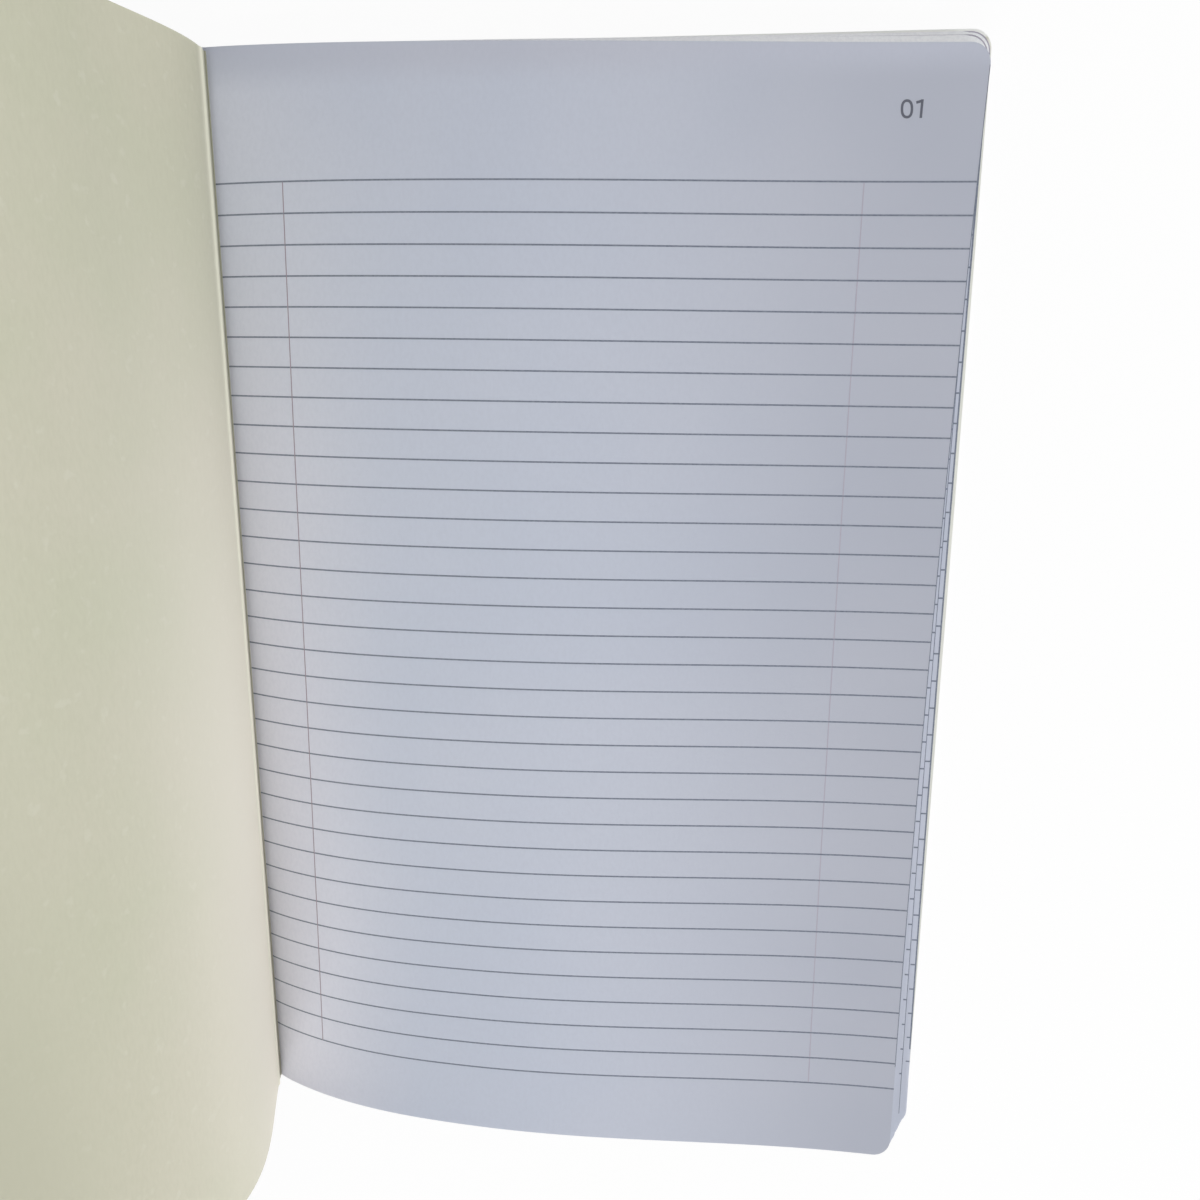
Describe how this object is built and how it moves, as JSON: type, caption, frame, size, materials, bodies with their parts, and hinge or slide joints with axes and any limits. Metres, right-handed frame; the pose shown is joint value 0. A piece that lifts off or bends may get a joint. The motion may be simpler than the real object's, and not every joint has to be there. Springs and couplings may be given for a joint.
{
  "type": "composition notebook",
  "caption": "Open softcover notebook: ruled pages bulge up from the spine, the front card cover stands, the back cover lies flat; both covers turn on their folds.",
  "frame": {"origin": "middle of the back cover's underside, which lies on the table", "axes": "+X from the spine to the fore edge, +Y up the page along the spine, +Z away from the table"},
  "size_m": [0.1903, 0.2197, 0.1348],
  "materials": {
    "paper": "uncoated white writing paper",
    "cover_card": "plain matte sage card",
    "glue": "dried binding adhesive"
  },
  "bodies": {
    "back_cover": {"back_cover": "cover_card"},
    "pages": {"page_block": "paper", "spine_glue": "glue", "spine_card": "cover_card"},
    "front_cover": {"front_cover": "cover_card"}
  },
  "joints": [
    {"name": "back_cover_fold", "type": "hinge", "parent": "back_cover", "child": "pages", "pos_m": [-0.0723, 0, 0], "axis": [0, -1, 0], "range_deg": [0, 170]},
    {"name": "front_cover_fold", "type": "hinge", "parent": "pages", "child": "front_cover", "pos_m": [-0.0693, 0, 0.00505], "axis": [0, 1, 0], "range_deg": [-70, 42]}
  ]
}
